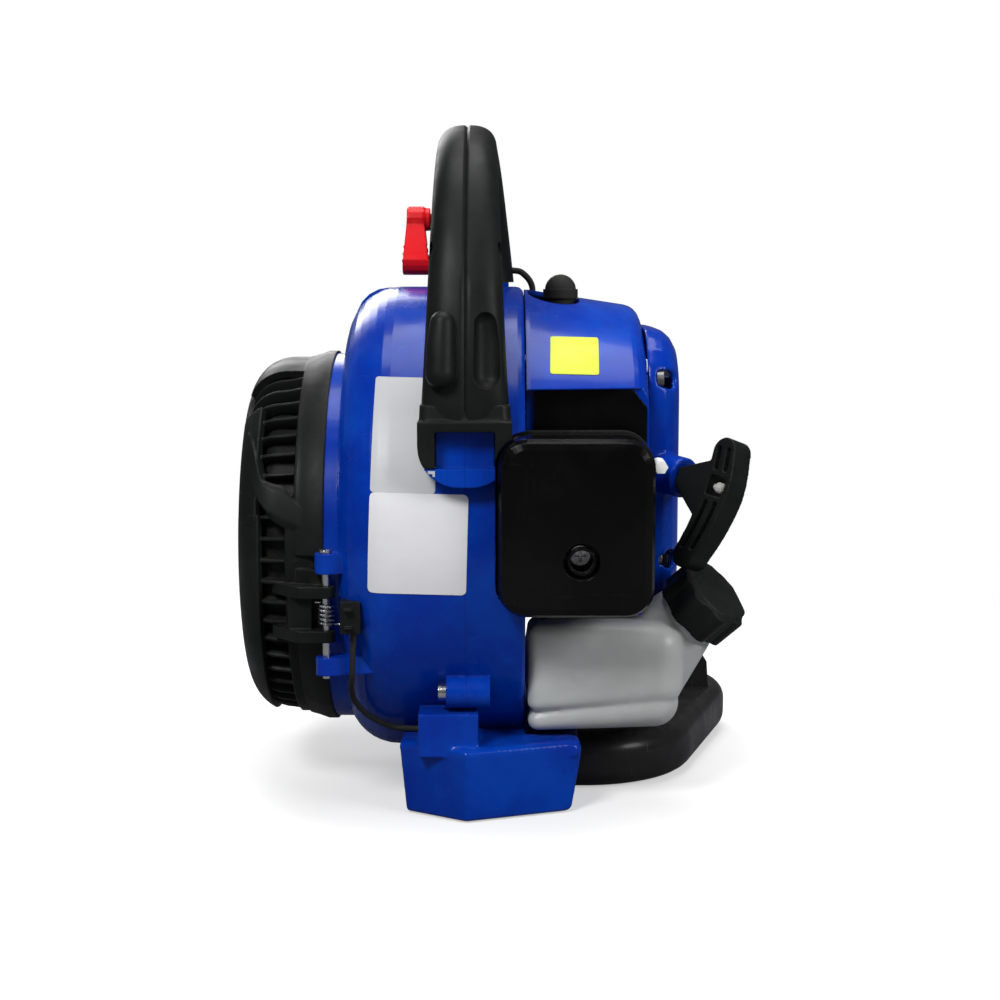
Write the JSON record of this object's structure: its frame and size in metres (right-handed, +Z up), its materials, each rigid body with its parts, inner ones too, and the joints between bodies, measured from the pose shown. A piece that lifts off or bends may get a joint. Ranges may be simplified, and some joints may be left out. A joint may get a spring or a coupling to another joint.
{
  "type": "handheld petrol leaf blower",
  "caption": "Handheld petrol leaf blower: scroll fan housing with a round inlet grille, outlet spigot, looped top handle, engine under a side cover, fuel tank and stand.",
  "frame": {"origin": "on the ground under the foot, in the plane where the two halves of the fan housing meet, below the crank axis", "axes": "+Y forward, the way the air leaves; +X to the engine and starter side; +Z up"},
  "size_m": [0.2729, 0.309, 0.351],
  "materials": {
    "blue_plastic": "gloss",
    "black_plastic": "satin",
    "black_gloss": "gloss",
    "red_plastic": "satin",
    "tank_plastic": "translucent satin",
    "rubber": "matte",
    "cast_alloy": "as cast",
    "machined_alloy": "machined",
    "steel": "zinc plated",
    "dark_steel": "oiled",
    "sheet_steel": "heat tinted",
    "grey_paint": "satin",
    "white_plastic": "satin",
    "foam": "open foam",
    "rope": "braided",
    "ceramic": "glazed",
    "fuel_hose": "satin",
    "black_paint": "satin"
  },
  "bodies": {
    "housing": {"volute_outer_half": "blue_plastic", "volute_inner_half": "blue_plastic", "hinge_pin": "steel", "hinge_spring": "steel", "interlock_switch": "black_plastic", "interlock_lead": "rubber", "crankcase": "cast_alloy", "crank_bearings": "steel", "shaft_seals": "rubber", "connecting_rod": "machined_alloy", "piston": "machined_alloy", "gudgeon_pin": "steel", "engine_cylinder": "cast_alloy", "spark_plug": "ceramic", "plug_boot": "rubber", "ignition_lead": "rubber", "ignition_coil": "dark_steel", "intake_insulator": "black_plastic", "carburettor": "cast_alloy", "air_box": "black_plastic", "air_filter": "foam", "filter_cover": "black_gloss", "filter_cover_screw": "steel", "muffler": "sheet_steel", "engine_cover": "blue_plastic", "starter_housing": "blue_plastic", "drum_screw": "steel", "rewind_spring": "dark_steel", "starter_rope": "rope", "fuel_tank": "tank_plastic", "cap_gasket": "rubber", "fuel_lines": "fuel_hose", "fuel_filter": "white_plastic", "stand_foot": "blue_plastic", "stand_tube": "black_paint", "tube_bracket": "grey_paint", "handle_yoke": "black_plastic", "handle_left_half": "black_plastic", "handle_right_half": "black_plastic", "handle_screws": "steel", "trigger_pin": "steel", "throttle_cable": "rubber", "housing_screws": "steel", "cover_screws": "steel"},
    "grille": {"inlet_grille": "black_plastic"},
    "crank": {"crankshaft": "steel", "flywheel": "cast_alloy", "shaft_nuts": "steel", "impeller": "black_plastic"},
    "pawl": {"starter_pawl": "dark_steel"},
    "drum": {"rope_drum": "white_plastic", "rope_winding": "rope"},
    "grip": {"starter_grip": "black_plastic"},
    "trigger": {"throttle_trigger": "black_plastic"},
    "throttle": {"throttle_arm": "steel"},
    "cruise": {"cruise_lever": "red_plastic"},
    "switch": {"stop_switch": "red_plastic"},
    "choke": {"choke_lever": "white_plastic"},
    "primer": {"primer_bulb": "white_plastic"},
    "cap": {"fuel_cap": "black_plastic"}
  },
  "joints": [
    {"name": "grille_hinge", "type": "hinge", "parent": "housing", "child": "grille", "pos_m": [-0.07, -0.104, 0.104], "axis": [0, 0, 1], "range_deg": [0, 110], "stiffness_Nm_per_rad": 0.02},
    {"name": "crank_spin", "type": "hinge", "parent": "housing", "child": "crank", "pos_m": [0, 0, 0.13], "axis": [1, 0, 0], "continuous": true},
    {"name": "pawl_swing", "type": "hinge", "parent": "crank", "child": "pawl", "pos_m": [0.088, 0, 0.151], "axis": [1, 0, 0], "range_deg": [0, 20], "stiffness_Nm_per_rad": 0.005},
    {"name": "starter_pull", "type": "slide", "parent": "housing", "child": "grip", "axis": [0.6259, -0.7729, -0.1045], "range_m": [0, 0.6], "stiffness_N_per_m": 20, "springref_m": -0.3},
    {"name": "drum_turn", "type": "hinge", "parent": "housing", "child": "drum", "pos_m": [0.098, 0, 0.13], "axis": [1, 0, 0], "range_deg": [-1300, 1300]},
    {"name": "trigger_squeeze", "type": "hinge", "parent": "housing", "child": "trigger", "pos_m": [0, 0.02, 0.33], "axis": [1, 0, 0], "range_deg": [-16, 0], "stiffness_Nm_per_rad": 0.5, "springref_deg": 28.65},
    {"name": "throttle_turn", "type": "hinge", "parent": "housing", "child": "throttle", "pos_m": [0.05, -0.06185, 0.18], "axis": [0, 0, 1], "range_deg": [0, 50]},
    {"name": "cruise_turn", "type": "hinge", "parent": "housing", "child": "cruise", "pos_m": [-0.03, 0.057, 0.304], "axis": [1, 0, 0], "range_deg": [-60, 0]},
    {"name": "switch_rock", "type": "hinge", "parent": "housing", "child": "switch", "pos_m": [0, 0.029, 0.341], "axis": [1, 0, 0], "range_deg": [0, 8]},
    {"name": "choke_turn", "type": "hinge", "parent": "housing", "child": "choke", "pos_m": [0.062, -0.083, 0.158], "axis": [0, 1, 0], "range_deg": [0, 35]},
    {"name": "primer_press", "type": "slide", "parent": "housing", "child": "primer", "axis": [0, 0, 1], "range_m": [0, 0.004], "stiffness_N_per_m": 400, "springref_m": -0.0005},
    {"name": "cap_unscrew", "type": "hinge", "parent": "housing", "child": "cap", "pos_m": [0.116, -0.0715, 0.099], "axis": [0.6486, -0.379, 0.66], "range_deg": [0, 270]}
  ],
  "couplings": [
    {"joint": "drum_turn", "follows": "starter_pull", "rad_per_m": -33.784},
    {"joint": "throttle_turn", "follows": "trigger_squeeze", "ratio": -3}
  ]
}
